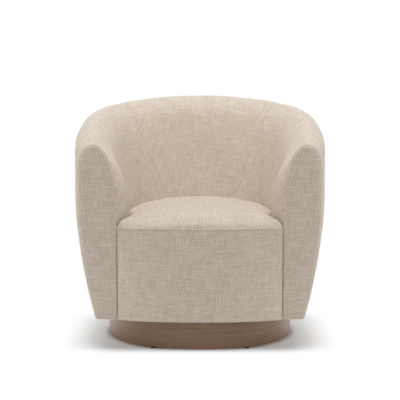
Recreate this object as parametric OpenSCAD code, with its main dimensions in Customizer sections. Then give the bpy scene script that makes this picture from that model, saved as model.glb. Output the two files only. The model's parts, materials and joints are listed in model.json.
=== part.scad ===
// Swivel barrel chair: an upholstered shell and a crowned tight seat on a round wooden plinth.
// Millimetres, +Z up, origin on the floor on the swivel axis, the front faces -Y.

/* [Overall] */
// Width of the shell at its widest
overall_w = 812; // [776:4:860]
// Depth, from the middle of the apron to the outside of the back
overall_d = 820; // [780:5:880]
// Height of the rim in the middle of the back
back_h = 789; // [740:1:840]
// Height of the arms at their fronts
arm_h = 648; // [610:1:690]
// How far an arm's front stands inside the widest line
arm_inset_w = 37; // [28:1:44]
// Height at which the shell is widest
wide_h = 485; // [455:1:520]

/* [Shell] */
// How far an arm's foot is drawn in from its widest line, at the front
arm_tuck_w = 50; // [35:1:60]
// How far the foot is drawn in at the sides and back
back_tuck_w = 70; // [50:1:76]
// Radius of the shell's bottom edge
foot_r = 12; // [6:1:12]
// Thickness of an arm at its front
arm_t = 117; // [105:1:125]
// Distance from an arm's outside to its highest line, at the front
arm_peak_w = 45; // [40:0.5:52]
// Distance from the back's outside to its highest line
back_peak_w = 76; // [60:1:84]
// Height of the outer shoulder at an arm's front
arm_shoulder_h = 78; // [60:1:90]
// Height of the outer shoulder in the middle of the back
back_shoulder_h = 165; // [130:1:190]
// Height of the inner roll at an arm's front
arm_roll_h = 168; // [140:1:180]
// Thickness of the back at its rim, before it leans
back_t = 120; // [112:1:128]
// Height of the inner roll in the back
back_roll_h = 80; // [60:1:100]
// Lean of the inside of the back from upright, in degrees
back_lean_angle = 19.3; // [14:0.1:21]
// How far the arm fronts stand behind the middle of the apron
arm_step_d = 47; // [44:1:60]

/* [Padding] */
// Padding over the outside of the frame
outer_pad_t = 14; // [13:1:18]
// Padding over the top of the frame
top_pad_t = 36; // [30:1:40]
// Padding over the inside of the frame
inner_pad_t = 38; // [30:1:40]
// Thickness of the padded panels on the arm fronts
front_pad_t = 24; // [15:1:28]

/* [Seat] */
// How far the middle of the apron stands in front of its ends
apron_bow_d = 38; // [25:1:42]
// Height of the seam between the seat and the apron
seam_h = 395.5; // [385:0.5:410]
// Height of the seat's edge at the back
seat_back_edge_h = 410; // [400:1:425]
// Height of the top of the seat's crown
crown_h = 454.5; // [440:0.5:470]
// Thickness of the seat's sewn lip
seat_lip_t = 3; // [2:0.5:5]
// Distance of the crown's middle in front of the swivel axis
crown_centre_d = 90; // [70:1:110]

/* [Frame] */
// Thickness of the bottom board
board_t = 18; // [15:1:24]
// Thickness of the plywood ribs and stiles
rib_t = 18; // [12:1:18]
// Thickness of the seat rails
rail_t = 20; // [16:1:24]
// Height of the rails that carry the springs
spring_rail_h = 196; // [186:1:200]
// Distance from the swivel axis to the front of the back rail
back_rail_d = 92; // [86:1:100]
// Width of the top rail
top_rail_w = 26; // [18:1:26]
// Height of the top rail
top_rail_h = 18; // [12:1:22]
// Thickness of the hardboard liners
liner_t = 3; // [2:0.5:3]
// Length of the sides of a corner block
corner_block_w = 55; // [40:1:60]
// Height of a corner block
corner_block_h = 70; // [50:1:90]
// Radius of a rail screw's shank
rail_screw_r = 2.2; // [1.8:0.1:3]
// Length of a rail screw
rail_screw_l = 62; // [45:1:75]
// Radius of a rail screw's head
rail_screw_head_r = 4.5; // [3.8:0.1:5.5]
// Height of a rail screw's sunk head
rail_screw_head_h = 3; // [2:0.5:4]

/* [Springs] */
// Gap between a side rail and the outermost spring
spring_margin_w = 30; // [20:1:40]
// Number of springs
spring_count = 5; // [3:1:5]
// Radius of the spring wire
wire_r = 2; // [1.5:0.1:2]
// Width of a spring over its bends, between wire centres
spring_w = 46; // [40:1:50]
// Number of cross wires in a spring
cross_wires = 19; // [17:2:23]
// Depth of a spring clip
clip_d = 12; // [8:1:14]
// Height of a spring clip
clip_h = 8; // [7:0.5:9]
// Thickness of the felt over the springs
felt_t = 3; // [2:0.5:5]

/* [Plinth] */
// Diameter of the plinth
plinth_d = 610; // [560:5:620]
// Height of the plinth's hoop
plinth_h = 96; // [86:1:110]
// Thickness of the plinth's hoop
hoop_t = 18; // [17:1:24]
// Thickness of the plinth's panel
panel_t = 18; // [15:1:24]
// Gap between the plinth and the shell
plinth_gap = 12; // [10:1:14]
// Width of a glue block
block_w = 70; // [50:1:90]
// Height of a glue block
block_h = 30; // [20:1:40]
// Depth of a glue block, towards the middle
block_d = 22; // [16:1:28]
// Number of glue blocks
block_count = 8; // [6:1:10]
// Number of floor glides
glide_count = 6; // [4:1:8]
// Radius of a floor glide
glide_r = 8; // [6:0.5:8]
// Thickness of a floor glide
glide_t = 4; // [3:0.5:6]
// Radius of a glide's stem
glide_stem_r = 2.5; // [2:0.1:3]
// Length of a glide's stem
glide_stem_l = 14; // [10:1:20]

/* [Swivel] */
// Width of the square swivel plates
plate_w = 200; // [188:1:206]
// Radius that clips the corners of the plates
plate_corner_r = 130; // [122:1:136]
// Thickness of the swivel plates
plate_t = 3; // [2:0.5:4]
// Radius of the ball circle
ball_circle_r = 80; // [74:1:84]
// Radius of a bearing ball
ball_r = 4.5; // [4:0.1:5]
// Number of bearing balls
ball_count = 24; // [16:1:30]
// Width of the races
race_w = 16; // [14:1:20]
// Height of each race
race_h = 7; // [6:0.5:8]
// Depth of the race grooves
groove_d = 1.5; // [1:0.1:2]
// Running clearance between the balls and the grooves
ball_clear = 0.05; // [0.02:0.01:0.1]
// Thickness of the ball cage
cage_t = 3; // [2:0.5:3]
// Clearance of a ball in its cage pocket
pocket_clear = 0.15; // [0.1:0.05:0.3]
// Radius of the centre pin
pin_r = 8; // [6.5:0.5:9]
// Radius of the centre pin's threaded end
pin_thread_r = 6; // [4:0.5:6]
// Radius of the centre pin's head
pin_head_r = 14; // [12:0.5:16]
// Height of the centre pin's head
pin_head_h = 4; // [3:0.5:6]
// Radial clearance of the centre pin in its bush
pin_clear = 0.05; // [0.02:0.01:0.1]
// Wall of the centre bush
bush_wall = 3; // [2:0.5:4]
// Thickness of the bush's flange
bush_flange_t = 1.5; // [1:0.5:2]
// Radius of the bush's flange
bush_flange_r = 15; // [13:0.5:17]
// Thickness of the pin's washer
washer_t = 1.5; // [1:0.5:2]
// Radius of the pin's washer
washer_r = 13; // [11:0.5:15]
// Height of the pin's nut
nut_h = 8; // [6:0.5:9]
// Radius of the pin's nut over its corners
nut_r = 11; // [10:0.5:13]
// Radius of the wells in the boards round the pin's head and nut
pin_well_r = 22; // [20:0.5:26]
// Side of the square that the plate bolts stand on
bolt_square_w = 144; // [140:1:148]
// Radius of a plate bolt
bolt_r = 3; // [2.5:0.1:3.5]
// Radius of a plate bolt's head
bolt_head_r = 6; // [5:0.5:7]
// Height of a plate bolt's head
bolt_head_h = 4; // [3:0.5:4.5]
// Outer radius of a tee nut's barrel
tee_r = 4.5; // [4.3:0.1:5.5]
// Length of a tee nut's barrel
tee_l = 11; // [8:1:13]
// Radius of a tee nut's flange
tee_flange_r = 10; // [8:0.5:12]
// Thickness of a tee nut's flange
tee_flange_t = 1.6; // [1.2:0.1:2]

/* [Cover] */
// Thickness of the dust cover
dust_t = 1; // [0.5:0.1:1.5]
// Margin of the dust cover inside the bottom board's edge
dust_margin_w = 8; // [5:1:15]

/* [Hidden] */
$fn = 96;
// Gap between pieces that rest on or against each other
fit = 0.3;
// Gap between the edge of the seat and the inside of the shell
seat_gap = 0.8;
// Gap between a rib and the liner behind its curved face
rib_gap = 2.6;
// Gap between the dust cover and the swivel plate that it goes round
cover_gap = 4;
// Clearance round the bolts and screws in their holes
hole_clear = 0.25;
// Radial clearance of the close fits: pins, barrels and stems
close_clear = 0.05;
// Overrun of every cut past the face that it leaves
cut = 1;
// Gap in the seam between two padded parts of the shell
seam_gap = 0.6;
// Gap over and under the top rail
top_rail_gap = 0.6;
// Gap between the dust cover and the bottom board
dust_gap = 0.1;

// Exponents of the curves: of the rim's fall, the foot's tuck, the outer shoulder, the apron's bow
// and the seat's crown
rim_power = 1.8;
tuck_power = 2;
shoulder_power = 2.4;
bow_power = 2.7;
crown_power = 2.6;
crown_root = 0.6;

// Share of the way from an arm's front to the middle of the back at which the side turns into the back
side_share = 0.39;
// The same for the seam between an arm and the back
seam_share = 0.63;

// Plan of the shell
half_w = overall_w / 2;
half_d = overall_d / 2;
arms_w = overall_w - 2 * arm_inset_w;
arm_front_y = -half_d + arm_step_d;
pad_y = arm_front_y + front_pad_t;
side_narrowing = 1 - pow(arms_w / overall_w, 2);
quarter_l = PI / 4 * (half_w + half_d);
back_lean = tan(back_lean_angle);
apron_w = arms_w - 2 * (arm_t + seat_gap);

// Heights of the stack, from the floor up
hoop_z = glide_t;
hoop_top = hoop_z + plinth_h;
shell_z = hoop_top + plinth_gap;
race_gap = 2 * (ball_r - groove_d);
bearing_h = 2 * plate_t + 2 * race_h + race_gap;
panel_top = shell_z - bearing_h;
panel_z = panel_top - panel_t;
lower_race_z = panel_top + plate_t;
ball_z = lower_race_z + race_h + race_gap / 2;
upper_race_z = lower_race_z + race_h + race_gap;
upper_plate_z = upper_race_z + race_h;
board_top = shell_z + board_t;
spring_rail_top = board_top + spring_rail_h;
wire_z = spring_rail_top + clip_h / 2;
felt_z = spring_rail_top + clip_h + fit;
deck_z = felt_z + felt_t + fit;

// Plan of the seat frame
front_rail_y = pad_y + fit;
stile_back_y = pad_y + fit + rib_t;
side_rail_x = apron_w / 2;
side_rail_y = front_rail_y + rail_t;
back_rail_back = back_rail_d + rail_t;
side_rail_top = deck_z - fit;

// Stations along the shell: 0 is the middle of the back, 1 the side and 2 the arm's front, with a
// minus sign on the left
pad_station = 1 + pad_y / arm_front_y;
stile_station = 1 + stile_back_y / arm_front_y;
seam_station = (1 - seam_share) / (1 - side_share);
seam_half = seam_gap / 2 / quarter_l;
arm_rib_y_share = 0.45;
corner_rib_station = 0.79;
back_rib_station = 0.36;

// Counts of steps along and round the shell
back_steps = 12;
corner_steps = 5;
arm_steps = 5;
tuck_steps = 6;
shoulder_steps = 5;
roll_steps = 6;
bow_steps = 8;

function mix(from, to, share) = from + (to - from) * share;
function steps(from, to, count) = [for (i = [0:count]) mix(from, to, i / count)];
function side_of(q) = q < 0 ? -1 : 1;

// Share of the way from the arm's front to the middle of the back
function way(q) = abs(q) <= 1 ? 1 - (1 - side_share) * abs(q) : side_share * (2 - abs(q));
function seam_way(q) = min(1, way(q) / seam_share);
function side_way(q) = min(1, way(q) / side_share);

// Sizes of the wall's section at a station
function rim_h(q) = back_h - (back_h - arm_h) * pow(1 - way(q), rim_power);
function foot_tuck(q) = mix(arm_tuck_w, back_tuck_w, sin(90 * side_way(q)));
function peak_in(q) = mix(arm_peak_w, back_peak_w, sin(90 * way(q)));
function shoulder_h(q) = mix(arm_shoulder_h, back_shoulder_h, pow(way(q), shoulder_power));
function roll_w(q) = mix(arm_t, back_t, seam_way(q)) - peak_in(q);
function roll_h(q) = mix(arm_roll_h, back_roll_h, seam_way(q));
function lean(q) = back_lean * seam_way(q);

// Inward distance of the wall's outside and inside from the widest line, at a height
function outside(q, z) =
    let (shoulder_z = rim_h(q) - shoulder_h(q))
    z < wide_h && z < shoulder_z ? foot_tuck(q) * pow((wide_h - z) / (wide_h - shell_z), tuck_power)
    : z <= shoulder_z ? 0
    : peak_in(q) * (1 - sqrt(1 - pow((z - shoulder_z) / shoulder_h(q), 2)));
function inside(q, z) =
    let (d = rim_h(q) - z, over = max(0, 1 - d / roll_h(q)))
    peak_in(q) + lean(q) * d + roll_w(q) * sqrt(1 - over * over);

// A point of the shell, from its station, its inward distance and its height
function station_y(q) = arm_front_y * (abs(q) - 1);
function widest_x(q) = half_w * sqrt(1 - side_narrowing * pow(abs(q) - 1, 2));
function widest_line(q) = abs(q) <= 1
    ? [half_w * sin(90 * q), half_d * cos(90 * q)]
    : [side_of(q) * widest_x(q), station_y(q)];
function outward_angle(q) = abs(q) <= 1
    ? atan2(cos(90 * q) / half_d, sin(90 * q) / half_w)
    : (q < 0 ? 180 : 0);
function plan_point(q, u) =
    let (a = outward_angle(q), p = widest_line(q))
    [p[0] - u * cos(a), p[1] - u * sin(a)];
function shell_point(q, u, z) = concat(plan_point(q, u), z);

// Stations of the three padded parts of the shell
back_stations = steps(-seam_station + seam_half, seam_station - seam_half, back_steps);
arm_stations = concat(
    steps(seam_station + seam_half, 1, corner_steps),
    [for (i = [1:arm_steps]) mix(1, pad_station, i / arm_steps)]);
function negated(list) = [for (i = [len(list) - 1:-1:0]) -list[i]];
shell_stations = concat(negated(arm_stations), back_stations, arm_stations);
frame_stations = [for (q = shell_stations) max(-stile_station, min(stile_station, q))];

// Outside of the wall's section, from the foot to the peak
function outside_line(q) =
    let (foot = outside(q, shell_z + foot_r), z = rim_h(q) - shoulder_h(q))
    concat(
        [for (a = [0, 45]) [foot + foot_r * (1 - sin(a)), shell_z + foot_r * (1 - cos(a))]],
        [for (h = steps(shell_z + foot_r, min(wide_h, z - fit), tuck_steps)) [outside(q, h), h]],
        [for (a = steps(0, 90, shoulder_steps)) [peak_in(q) * (1 - cos(a)), z + shoulder_h(q) * sin(a)]]);

// Inside of the wall's section, from just past the peak down to a height
function inside_line(q, bottom) = concat(
    [for (i = [1:roll_steps])
        let (z = rim_h(q) - roll_h(q) * (1 - cos(90 * i / roll_steps))) [inside(q, z), z]],
    [[inside(q, bottom), bottom]]);

// Hollow for the frame in the padding: its top, and its outer and inner walls
function hollow_top(q) = rim_h(q) - top_pad_t;
function hollow_out(q, z, gap = 0) = outside(q, z) + outer_pad_t + gap;
function hollow_in(q, z, gap = 0) = inside(q, z) - inner_pad_t - gap;
hollow_level_shares = [0, 0.2, 0.4, 0.7, 1];
function hollow_levels(q) = concat(
    [for (s = hollow_level_shares) mix(board_top, wide_h, s)],
    [max(wide_h + fit, rim_h(q) - shoulder_h(q))]);
function hollow_out_line(q, gap = 0) = [for (z = hollow_levels(q)) [hollow_out(q, z, gap), z]];

function pad_section(q) =
    let (top = hollow_top(q), bend = rim_h(q) - roll_h(q))
    concat(
        outside_line(q),
        inside_line(q, deck_z),
        [[hollow_in(q, deck_z), deck_z], [hollow_in(q, bend), bend]],
        [[hollow_in(q, top), top], [hollow_out(q, top), top]],
        reversed(hollow_out_line(q)),
        [[hollow_out(q, shell_z), shell_z]]);
function reversed(list) = [for (i = [len(list) - 1:-1:0]) list[i]];

// Triangles between each two neighbours of a row of closed loops with n points each; they are split
// one way up to the loop numbered left and the other way past it, so that mirrored halves match, and
// the second half of a sheet's loop is split so that its two sides stay parallel
function side_faces(last, n, left, sheet = false) = [for (i = [0:last - 1]) for (j = [0:n - 1])
    let (k = (j + 1) % n, a = i * n + j, b = i * n + k, c = a + n, d = b + n)
    each (i < left) != (sheet && j >= n / 2) ? [[a, c, b], [b, c, d]] : [[a, d, b], [a, c, d]]];

// Triangles that fill a flat closed loop: the corner with the shortest side across it is cut off
// first, then the next, as long as no other point of the loop lies in what is cut off
function loop_normal(loop) = [for (i = [2:len(loop) - 1]) 1]
    * [for (i = [2:len(loop) - 1]) cross(loop[i - 1] - loop[0], loop[i] - loop[0])];
function turn(a, b, c, up) = cross(b - a, c - a) * up;
function corner_is_free(loop, left, a, b, c, up) = turn(a, b, c, up) > 0
    && len([for (k = left) let (p = loop[k])
        if (p != a && p != b && p != c
            && min(turn(a, b, p, up), turn(b, c, p, up), turn(c, a, p, up)) >= 0) k]) == 0;
function fill(loop, left, up) =
    let (n = len(left))
    n == 3 ? [left]
    : let (
        free = [for (i = [0:n - 1])
            let (a = loop[left[(i + n - 1) % n]], b = loop[left[i]], c = loop[left[(i + 1) % n]])
            if (corner_is_free(loop, left, a, b, c, up)) [norm(c - a), i]],
        shortest = min([for (f = free) f[0]]),
        i = [for (f = free) if (f[0] == shortest) f[1]][0])
    concat([[left[(i + n - 1) % n], left[i], left[(i + 1) % n]]],
        fill(loop, [for (k = [0:n - 1]) if (k != i) left[k]], up));
function cap(loop) = fill(loop, [for (i = [0:len(loop) - 1]) i], loop_normal(loop));

// Closed solid through a row of closed loops
module skin(loops, left, sheet = false) {
    n = len(loops[0]);
    last = len(loops) - 1;
    end_cap = [for (t = cap(loops[last])) [for (j = [2:-1:0]) last * n + t[j]]];
    polyhedron(points = [for (l = loops) each l],
        faces = concat(side_faces(last, n, left, sheet), cap(loops[0]), end_cap), convexity = 6);
}

// The same along the shell, from one closed section a station
module shell_skin(stations, sections, sheet = false) {
    skin([for (i = [0:len(stations) - 1]) [for (p = sections[i]) shell_point(stations[i], p[0], p[1])]],
        len([for (q = stations) if (q < 0) q]), sheet);
}

module shell_pad(stations) { shell_skin(stations, [for (q = stations) pad_section(q)]); }

module arm_pad_right() { color("wheat") shell_pad(arm_stations); }
module arm_pad_left() { mirror([1, 0, 0]) arm_pad_right(); }
module back_pad() { color("wheat") shell_pad(back_stations); }

// Flat upright piece in the plane of a station, with its outline in inward distance and height
module upright(q, outline, thickness) {
    p = widest_line(q);
    translate([p[0], p[1], 0]) rotate([0, 0, outward_angle(q)]) rotate([90, 0, 0])
        linear_extrude(thickness, center = true) polygon([for (p = outline) [-p[0], p[1]]]);
}

// Padded panel on an arm's front
module arm_front_pad(side) {
    q = side * 2;
    color("tan") translate([side * widest_x(q), pad_y - fit, 0]) rotate([90, 0, 0])
        linear_extrude(front_pad_t - fit)
            polygon([for (p = concat(outside_line(q), inside_line(q, shell_z))) [-side * p[0], p[1]]]);
}
module arm_front_pad_left() { arm_front_pad(-1); }
module arm_front_pad_right() { arm_front_pad(1); }

// Front of the seat and apron, from left to right
function bow_y(x) = -half_d + apron_bow_d * pow(abs(x) / (apron_w / 2), bow_power);
bow_points = [for (x = steps(-apron_w / 2, apron_w / 2, 2 * bow_steps)) [x, bow_y(x)]];

module apron_pad() {
    back = pad_y - fit;
    color("tan") translate([0, 0, shell_z]) linear_extrude(seam_h - seat_lip_t - fit - shell_z)
        polygon(concat(bow_points, [[apron_w / 2, back], [-apron_w / 2, back]]));
}

// Outline of the seat at its seam: round the front from left to right, then round the shell
function seat_edge_h(y) = mix(seam_h, seat_back_edge_h, min(1, max(0, (y - arm_front_y) / half_d)));
function seat_edge_u(q) = inside(q, seat_edge_h(widest_line(q)[1]) - seat_lip_t) + seat_gap;
function seat_edge_point(q) =
    let (p = plan_point(q, seat_edge_u(q)))
    [side_of(q) * min(abs(p[0]), apron_w / 2), p[1]];
seat_outline = concat(bow_points, [for (q = reversed(shell_stations)) seat_edge_point(q)]);
seat_centre = [0, -crown_centre_d];
crown_shares = [0.97, 0.9, 0.8, 0.65, 0.45, 0.22];
seat_foot_share = 0.86;

function toward(p, share) = seat_centre + (p - seat_centre) * share;
function crown_point(p, share) = concat(
    toward(p, share),
    mix(seat_edge_h(p[1]), crown_h, pow(1 - pow(share, crown_power), crown_root)));
function foot_xy(p) = [p[0] * seat_foot_share, max(toward(p, seat_foot_share)[1], pad_y + fit)];

// Crowned tight seat: its sewn lip lies on the apron, and its sides are drawn in below the lip
module seat_pad() {
    n = len(seat_outline);
    lip = [for (p = seat_outline) concat(p, seat_edge_h(p[1]) - seat_lip_t)];
    foot_lip = [for (p = seat_outline) concat(foot_xy(p), seat_edge_h(p[1]) - seat_lip_t)];
    foot = [for (p = seat_outline) concat(foot_xy(p), deck_z)];
    edge = [for (p = seat_outline) concat(p, seat_edge_h(p[1]))];
    rings = concat([foot, foot_lip, lip, edge],
        [for (s = crown_shares) [for (p = seat_outline) crown_point(p, s)]]);
    last = len(rings) - 1;
    bottom = [for (j = [0:n - 1]) [(last + 1) * n, j, (j + 1) % n]];
    top = [for (j = [0:n - 1]) [(last + 1) * n + 1, last * n + (j + 1) % n, last * n + j]];
    color("wheat") polyhedron(
        points = concat([for (r = rings) each r],
            [concat(seat_centre, deck_z), concat(seat_centre, crown_h)]),
        faces = concat(side_faces(last, n, 0), bottom, top), convexity = 4);
}

// Outline of the bottom board, inside the padding's outer legs
function board_in(q) = foot_tuck(q) + outer_pad_t + fit;
function board_outline(margin) = [for (q = shell_stations)
    let (p = plan_point(q, board_in(q) + margin)) [p[0], max(p[1], pad_y + fit + margin)]];

module four_bolts() {
    for (x = [-1, 1], y = [-1, 1]) translate([x * bolt_square_w / 2, y * bolt_square_w / 2, 0]) children();
}

rail_screw_xs = [-1, -1 / 3, 1 / 3, 1] * (apron_w / 2 - 2 * rail_t);
rail_screw_ys = [front_rail_y + rail_t / 2, back_rail_d + rail_t / 2];
module rail_screw_places() {
    for (x = rail_screw_xs, y = rail_screw_ys) translate([x, y, 0]) children();
}

module bottom_board() {
    color("burlywood") difference() {
        translate([0, 0, shell_z]) linear_extrude(board_t) polygon(board_outline(0));
        translate([0, 0, shell_z - cut]) cylinder(r = pin_well_r, h = board_t + 2 * cut);
        four_bolts() {
            translate([0, 0, shell_z - cut]) cylinder(r = bolt_r + hole_clear, h = board_t + 2 * cut);
            translate([0, 0, board_top - tee_l]) cylinder(r = tee_r + close_clear, h = tee_l + cut);
        }
        rail_screw_places() {
            translate([0, 0, shell_z - cut])
                cylinder(r = rail_screw_r + close_clear, h = board_t + 2 * cut);
            translate([0, 0, shell_z - cut])
                cylinder(r = rail_screw_head_r + hole_clear, h = rail_screw_head_h + fit + cut);
        }
    }
}

// Cloth on the underside, open round the swivel
module dust_cover() {
    opening = plate_w + 2 * cover_gap;
    color("dimgray") translate([0, 0, shell_z - dust_t]) difference() {
        linear_extrude(dust_t - dust_gap) polygon(board_outline(dust_margin_w));
        translate([-opening / 2, -opening / 2, -cut]) cube([opening, opening, dust_t + 2 * cut]);
    }
}

// Countersunk-style screws that hold the front and back rails from below
module rail_screws() {
    color("silver") rail_screw_places() {
        translate([0, 0, shell_z + fit]) cylinder(r = rail_screw_r, h = rail_screw_l);
        translate([0, 0, shell_z + fit]) cylinder(r = rail_screw_head_r, h = rail_screw_head_h);
    }
}

module rail_screw_holes() {
    rail_screw_places() translate([0, 0, board_top - cut])
        cylinder(r = rail_screw_r + close_clear, h = rail_screw_l - board_t + 2 * cut);
}

module front_rail() {
    color("peru") difference() {
        translate([-apron_w / 2, front_rail_y, board_top]) cube([apron_w, rail_t, spring_rail_h]);
        rail_screw_holes();
    }
}

module back_rail() {
    color("peru") difference() {
        translate([-apron_w / 2, back_rail_d, board_top]) cube([apron_w, rail_t, spring_rail_h]);
        rail_screw_holes();
    }
}

module side_rail(side) {
    color("peru") translate([side > 0 ? side_rail_x - rail_t : -side_rail_x, side_rail_y, board_top])
        cube([rail_t, back_rail_d - side_rail_y, side_rail_top - board_top]);
}
module side_rail_left() { side_rail(-1); }
module side_rail_right() { side_rail(1); }

module corner_blocks() {
    inner_x = side_rail_x - rail_t;
    color("burlywood") for (side = [-1, 1], end = [[side_rail_y, 1], [back_rail_d, -1]])
        translate([side * inner_x, end[0], spring_rail_top - corner_block_h - clip_h])
            scale([-side, end[1], 1]) linear_extrude(corner_block_h)
                polygon([[0, 0], [corner_block_w, 0], [0, corner_block_w]]);
}

// Ribs: inside the hollow above the deck, and down to the board below it
function rib_outline(q, q_front, foot_u) =
    let (
        gap = 2 * fit + liner_t + rib_gap,
        top = hollow_top(q_front) - top_rail_h - 2 * top_rail_gap,
        bend = rim_h(q_front) - roll_h(q_front))
    concat(
        [[foot_u, board_top]],
        hollow_out_line(q_front, gap),
        [[hollow_out(q_front, top, gap), top], [hollow_in(q_front, top, gap), top]],
        bend > deck_z && bend < top ? [[hollow_in(q_front, bend, gap), bend]] : [],
        [[hollow_in(q_front, deck_z, gap), deck_z], [hollow_in(q_front, deck_z, gap), deck_z - fit]],
        [[foot_u, deck_z - fit]]);

module rib(q, q_front, foot_u) {
    color("sandybrown") upright(q, rib_outline(q, q_front, foot_u), rib_t);
}

module arm_stile(side) {
    q = side * (1 + (pad_y + fit + rib_t / 2) / arm_front_y);
    rib(q, side * pad_station, widest_x(q) - side_rail_x - 2 * fit);
}
module arm_stile_left() { arm_stile(-1); }
module arm_stile_right() { arm_stile(1); }

module arm_rib(side) {
    q = side * (1 + arm_rib_y_share);
    rib(q, side * (1 + arm_rib_y_share - rib_t / 2 / arm_front_y), widest_x(q) - side_rail_x - fit);
}
module arm_rib_left() { arm_rib(-1); }
module arm_rib_right() { arm_rib(1); }

// Inward distance from the widest line to where a radial rib clears the corner of the seat frame
function corner_foot_u(q) =
    let (a = outward_angle(q), p = widest_line(q))
    (p[0] - side_rail_x - rib_t / 2 * sin(a) - 2 * fit) / cos(a);

module corner_rib(side) {
    q = side * corner_rib_station;
    half = rib_t / 2 / quarter_l;
    rib(q, q + side * half, min(corner_foot_u(abs(q)), inside(q, deck_z)));
}
module corner_rib_left() { corner_rib(-1); }
module corner_rib_right() { corner_rib(1); }

// Inward distance from the widest line to where a radial rib clears the back rail
function back_foot_u(q) =
    let (a = outward_angle(q), p = widest_line(q))
    (p[1] - back_rail_back - rib_t / 2 * cos(a) - 2 * fit) / sin(a);

module back_rib(side) {
    q = side * back_rib_station;
    half = rib_t / 2 / quarter_l;
    rib(q, q + side * half, min(back_foot_u(abs(q)), inside(q, deck_z)));
}
module back_rib_left() { back_rib(-1); }
module back_rib_right() { back_rib(1); }

// Bent rail over the ribs, following the rim from stile to stile
module top_rail() {
    color("burlywood") shell_skin(frame_stations, [for (q = frame_stations)
        let (
            top = hollow_top(q) - top_rail_gap,
            middle = (hollow_out(q, top) + hollow_in(q, top)) / 2,
            low = top - top_rail_h)
        [for (c = [[-1, low], [-1, top], [1, top], [1, low]]) [middle + c[0] * top_rail_w / 2, c[1]]]]);
}

// Bent hardboard under the outer padding, from the board to the shoulder
module outer_liner() {
    color("sienna") shell_skin(frame_stations, [for (q = frame_stations)
        concat(reversed(hollow_out_line(q, fit + liner_t)), hollow_out_line(q, fit))], sheet = true);
}

// Bent hardboard under the inner padding, from the deck to the roll
module inner_liner() {
    color("sienna") shell_skin(frame_stations, [for (q = frame_stations)
        let (bend = rim_h(q) - roll_h(q))
        [for (c = [[0, deck_z], [1, deck_z], [1, bend], [0, bend]])
            [hollow_in(q, c[1], fit + c[0] * liner_t), c[1]]]], sheet = true);
}

// Zigzag springs of round wire, from clip to clip
spring_front_y = front_rail_y + rail_t / 2;
spring_back_y = back_rail_d + rail_t / 2;
wire_pitch = (spring_back_y - spring_front_y) / (cross_wires - 1);
bend_r = wire_pitch / 2;
wire_reach = spring_w / 2 - bend_r;
clip_w = 2 * (wire_reach - fit);
wire_sides = 6;
bend_steps = 4;
spring_pitch = (apron_w - 2 * (rail_t + spring_margin_w + wire_r) - spring_w) / (spring_count - 1);
function spring_path() = [for (i = [0:cross_wires - 1])
    let (side = i % 2 == 0 ? -1 : 1, y = spring_front_y + i * wire_pitch)
    each concat(
        i == 0 ? [[-side * wire_reach, y]] : [],
        i == cross_wires - 1 ? [[side * wire_reach, y]]
        : [for (s = [0:bend_steps]) let (a = 180 * s / bend_steps)
            [side * (wire_reach + bend_r * sin(a)), y + bend_r * (1 - cos(a))]])];

module seat_springs() {
    path = spring_path();
    last = len(path) - 1;
    loops = [for (i = [0:last])
        let (
            along = path[min(i + 1, last)] - path[max(i - 1, 0)],
            unit = along / norm(along))
        [for (k = [0:wire_sides - 1]) let (a = -360 * k / wire_sides, s = wire_r * cos(a))
            [path[i][0] + unit[1] * s, path[i][1] - unit[0] * s, wire_z + wire_r * sin(a)]]];
    color("dimgray") spring_places() skin(loops, 0);
}

module spring_places() {
    for (i = [0:spring_count - 1])
        translate([(i - (spring_count - 1) / 2) * spring_pitch, 0, 0]) children();
}

// Clips that hold the end wires on the rails
module spring_clips() {
    slot = wire_r + fit;
    color("silver") spring_places() for (y = [spring_front_y, spring_back_y]) difference() {
        translate([-clip_w / 2, y - clip_d / 2, spring_rail_top]) cube([clip_w, clip_d, clip_h]);
        translate([-clip_w, y, wire_z]) rotate([0, 90, 0]) cylinder(r = slot, h = 2 * clip_w);
    }
}

module spring_insulator() {
    half = side_rail_x - rail_t - fit;
    color("gray") translate([-half, front_rail_y, felt_z])
        cube([2 * half, back_rail_back - front_rail_y, felt_t]);
}

// Wooden plinth
hoop_r = plinth_d / 2;
hoop_in_r = hoop_r - hoop_t;

module glide_places() {
    for (i = [0:glide_count - 1])
        rotate(360 * i / glide_count) translate([hoop_r - hoop_t / 2, 0, 0]) children();
}

module plinth_ring() {
    color("saddlebrown") difference() {
        translate([0, 0, hoop_z]) cylinder(r = hoop_r, h = plinth_h);
        translate([0, 0, hoop_z - cut]) cylinder(r = hoop_in_r, h = plinth_h + 2 * cut);
        glide_places() translate([0, 0, hoop_z - cut])
            cylinder(r = glide_stem_r + close_clear, h = glide_stem_l + fit + cut);
    }
}

module floor_glides() {
    color("black") glide_places() {
        cylinder(r = glide_r, h = glide_t);
        cylinder(r = glide_stem_r, h = glide_t + glide_stem_l);
    }
}

module plinth_panel() {
    color("burlywood") difference() {
        translate([0, 0, panel_z]) cylinder(r = hoop_in_r - fit, h = panel_t);
        translate([0, 0, panel_z - cut]) cylinder(r = pin_well_r, h = panel_t + 2 * cut);
        four_bolts() {
            translate([0, 0, panel_z - cut]) cylinder(r = bolt_r + hole_clear, h = panel_t + 2 * cut);
            translate([0, 0, panel_z - cut]) cylinder(r = tee_r + close_clear, h = tee_l + cut);
        }
    }
}

module plinth_blocks() {
    color("burlywood") for (i = [0:block_count - 1]) rotate(360 * (i + 0.5) / block_count) intersection() {
        translate([hoop_in_r - block_d, -block_w / 2, panel_z - block_h]) cube([block_d, block_w, block_h]);
        translate([0, 0, panel_z - block_h - cut]) cylinder(r = hoop_in_r - fit, h = block_h + 2 * cut);
    }
}

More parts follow.
